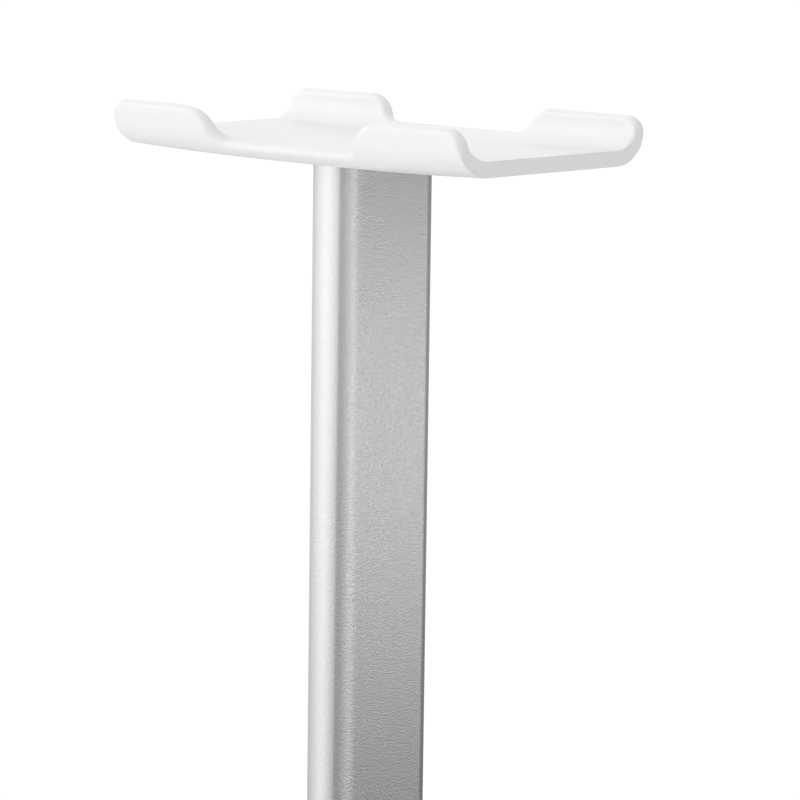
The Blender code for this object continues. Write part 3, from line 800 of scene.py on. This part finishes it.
def make_screw(node, head, size, upwards, mat, sides=24):
    """A screw with a cross recess and a self-tapping thread; upwards means driven from below."""
    low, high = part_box(node)
    head_r, head_h, shank_r, length = size
    sections = [[(x, y, z) for x, y in circle(0.0, 0.0, r, sides)]
                for r, z in head(head_r, head_h, shank_r)]
    tip_z = -head_h - length
    rows = int(length / THREAD_PITCH * THREAD_ROWS)
    for i in range(1, rows + 1):
        z = -head_h - length * i / rows
        core = shank_r * min(1.0, 0.25 + 0.5 * (z - tip_z) / shank_r)
        fade = min(1.0, i / THREAD_ROWS) * core / shank_r
        ring = []
        for side in range(sides):
            turn = math.tau * side / sides
            phase = (z / THREAD_PITCH - side / sides) % 1.0
            radius = core + fade * THREAD_DEPTH * max(0.0, 1 - abs(phase - 0.5) / 0.3)
            ring.append((radius * math.cos(turn), radius * math.sin(turn), z))
        sections.append(ring)
    screw = stack(node.replace("screw", "threaded_screw"), sections)
    cross = cross_outline(RECESS_ARM * head_r, RECESS_HALF_W * head_r)
    recess = prism("recess", [cross], -RECESS_DEPTH * head_h, OVERCUT)
    boolean(screw, recess, "DIFFERENCE")
    centre = (low + high) / 2
    if upwards:
        turn = Matrix.Translation((centre.x, centre.y, low.z)) @ Matrix.Rotation(math.pi, 4, "X")
    else:
        turn = Matrix.Translation((centre.x, centre.y, high.z))
    screw.data.transform(turn)
    stand_for(screw, node, mat)


def make_fasteners(mat):
    make_screw("headrest_screw", countersunk_head, TRAY_SCREW, False, mat)
    for number in (1, 2):
        make_screw(f"post_screw_{number}", pan_head, POST_SCREW, True, mat)
        node = f"post_washer_{number}"
        low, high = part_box(node)
        centre = (low + high) / 2
        outlines = [circle(centre.x, centre.y, (high.x - low.x) / 2),
                    circle(centre.x, centre.y, POST_SCREW[2] + WASHER_CLEARANCE)]
        washer = prism(f"flat_washer_{number}", outlines, low.z, high.z)
        soften_edges(washer, WASHER_EDGE)
        stand_for(washer, node, mat)
    for number in range(1, 5):
        make_screw(f"ballast_screw_{number}", pan_head, BALLAST_SCREW, True, mat)
        make_screw(f"cover_screw_{number}", countersunk_head, COVER_SCREW, True, mat)


# Stage -------------------------------------------------------------------------------------

def view_axes():
    """The camera's right, up and forward directions before its small roll."""
    ca, sa = math.cos(AZIMUTH), math.sin(AZIMUTH)
    ce, se = math.cos(ELEVATION), math.sin(ELEVATION)
    forward = Vector((-sa * ce, ca * ce, -se))
    right = Vector((ca, sa, 0.0))
    return right, right.cross(forward), forward


def make_camera(tray_z):
    right, up, forward = view_axes()
    data = bpy.data.cameras.new("camera")
    data.sensor_width = SENSOR_MM
    data.lens = LENS_MM
    data.clip_start = 0.01
    data.clip_end = 100.0
    camera = add_object("camera", data)
    place = Vector((0, 0, tray_z)) + right * AIM_RIGHT + up * AIM_UP - forward * DISTANCE
    turn = Matrix((right, up, -forward)).transposed() @ Matrix.Rotation(ROLL, 3, "Z")
    camera.matrix_world = Matrix.Translation(place) @ turn.to_4x4()
    bpy.context.scene.camera = camera


def make_floor():
    """White paper that fades out round the object, so that the backdrop has no horizon."""
    bm = bmesh.new()
    bmesh.ops.create_circle(bm, cap_ends=True, radius=FLOOR_R, segments=96)
    floor = finish_mesh(bm, "floor")
    mat, shader = new_material("floor_paper")
    tree = mat.node_tree
    shader.inputs["Base Color"].default_value = (FLOOR_GREY, FLOOR_GREY, FLOOR_GREY, 1.0)
    shader.inputs["Roughness"].default_value = FLOOR_ROUGHNESS
    length = tree.nodes.new("ShaderNodeVectorMath")
    length.operation = "LENGTH"
    link(tree, tree.nodes.new("ShaderNodeTexCoord").outputs["Object"], length.inputs[0])
    link(tree, smooth_step(tree, length.outputs["Value"], *FLOOR_FADE), shader.inputs["Alpha"])
    floor.data.materials.append(mat)


def dot(tree, direction, vector):
    """How far a direction points along a fixed vector."""
    node = tree.nodes.new("ShaderNodeVectorMath")
    node.operation = "DOT_PRODUCT"
    node.inputs[1].default_value = vector
    link(tree, direction, node.inputs[0])
    return node.outputs["Value"]


def level_ramp(tree, around, levels):
    """Half the brightness by angle, because a ramp's colours stop at 1."""
    node = tree.nodes.new("ShaderNodeValToRGB")
    elements = node.color_ramp.elements
    while len(elements) < len(levels):
        elements.new(0.5)
    for element, (angle, level) in zip(elements, levels):
        element.position = angle / 360 + 0.5
        element.color = (level / 2, level / 2, level / 2, 1.0)
    link(tree, around, node.inputs["Fac"])
    return node.outputs["Color"]


def blend(tree, factor, first, second):
    """From the first value to the second; either is a number or a socket."""
    node = tree.nodes.new("ShaderNodeMix")
    node.data_type = "FLOAT"
    link(tree, factor, node.inputs["Factor"])
    for socket, value in (("A", first), ("B", second)):
        if isinstance(value, float):
            node.inputs[socket].default_value = value
        else:
            link(tree, value, node.inputs[socket])
    return node.outputs["Result"]


def make_world():
    """Soft light from all round, as levels by angle that change with height. The bright and dark
    stretches of the horizon are what the post mirrors as its bands."""
    world = bpy.data.worlds.new("studio")
    bpy.context.scene.world = world
    world.use_nodes = True
    tree = world.node_tree
    tree.nodes.clear()
    right, _, forward = view_axes()
    towards = Vector((-forward.x, -forward.y, 0.0)).normalized()
    direction = tree.nodes.new("ShaderNodeTexCoord").outputs["Generated"]
    angle = tree.nodes.new("ShaderNodeMath")
    angle.operation = "ARCTAN2"
    link(tree, dot(tree, direction, right), angle.inputs[0])
    link(tree, dot(tree, direction, towards), angle.inputs[1])
    around = tree.nodes.new("ShaderNodeMath")
    around.operation = "MULTIPLY_ADD"
    around.inputs[1].default_value = 1 / math.tau
    around.inputs[2].default_value = 0.5
    link(tree, angle.outputs[0], around.inputs[0])
    around = around.outputs[0]
    height = dot(tree, direction, (0.0, 0.0, 1.0))
    level = level_ramp(tree, around, HORIZON_LEVELS)
    for fade, levels in ((GROUND_FADE, GROUND_LEVELS), (EYE_FADE, EYE_LEVELS),
                         (LOWER_FADE, LOWER_LEVELS), (UPPER_FADE, UPPER_LEVELS)):
        level = blend(tree, smooth_step(tree, height, *fade), level,
                      level_ramp(tree, around, levels))
    level = blend(tree, smooth_step(tree, height, *TOP_FADE), level, TOP_LEVEL / 2)
    path = tree.nodes.new("ShaderNodeLightPath")
    level = blend(tree, path.outputs["Is Camera Ray"], level, BACKDROP_LEVEL / 2)
    background = tree.nodes.new("ShaderNodeBackground")
    background.inputs["Strength"].default_value = 2.0
    link(tree, level, background.inputs["Color"])
    output = tree.nodes.new("ShaderNodeOutputWorld")
    link(tree, background.outputs["Background"], output.inputs["Surface"])
    bpy.context.scene.view_settings.view_transform = "Standard"


def main():
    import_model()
    tray_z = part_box("post")[1].z + GAP
    make_camera(tray_z)
    make_world()
    make_floor()
    make_tray(tray_z, moulded_plastic("tray_plastic", *TRAY_PLASTIC))
    make_post(blasted_aluminium("blasted_aluminium"))
    make_shell(moulded_plastic("base_plastic", *BASE_PLASTIC))
    make_ballast(metal("rolled_steel", *ROLLED_STEEL))
    make_cover(moulded_plastic("cover_plastic", *COVER_PLASTIC))
    make_feet(rubber("foot_rubber"))
    make_fasteners(metal("zinc_plate", *ZINC_PLATE))


main()
